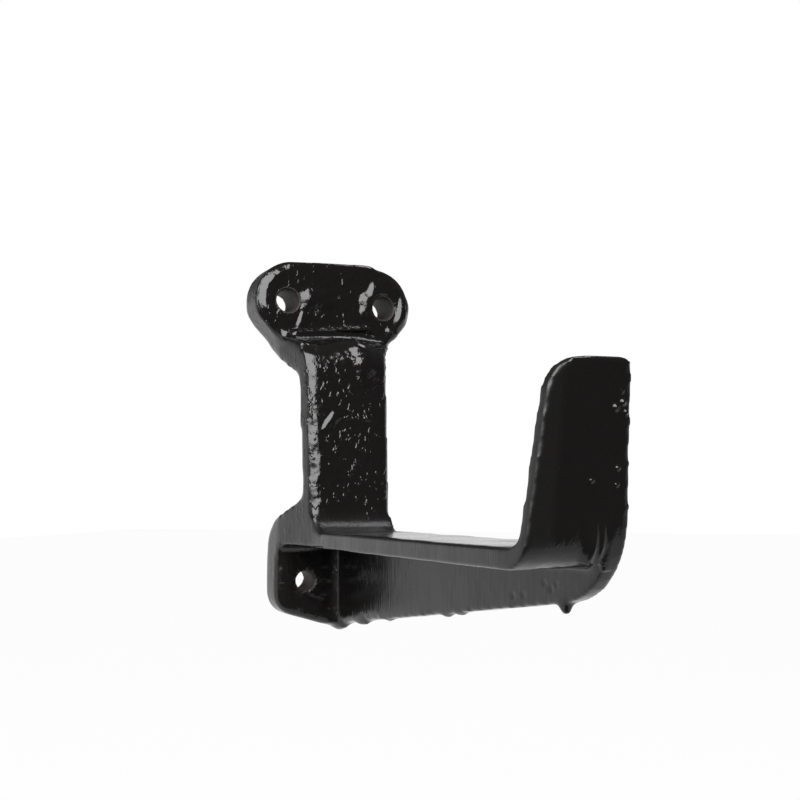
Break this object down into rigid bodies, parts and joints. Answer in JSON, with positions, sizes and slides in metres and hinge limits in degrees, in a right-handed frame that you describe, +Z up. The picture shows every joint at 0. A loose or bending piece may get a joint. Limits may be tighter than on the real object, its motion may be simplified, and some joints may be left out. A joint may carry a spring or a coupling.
{
  "type": "gutter bracket",
  "caption": "One-piece cast-iron gutter bracket: a screwed head and lug on the wall, a shank standing off it, and a webbed arm turned up at the front to hold a gutter.",
  "frame": {"origin": "on the wall plane, midway between the two head screws", "axes": "+X along the wall to the right seen from the front, +Y into the wall, +Z up"},
  "size_m": [0.0612, 0.1703, 0.1336],
  "materials": {
    "casting": "glossy black paint over a rough casting"
  },
  "bodies": {
    "root": {"bracket": "casting"}
  },
  "joints": []
}
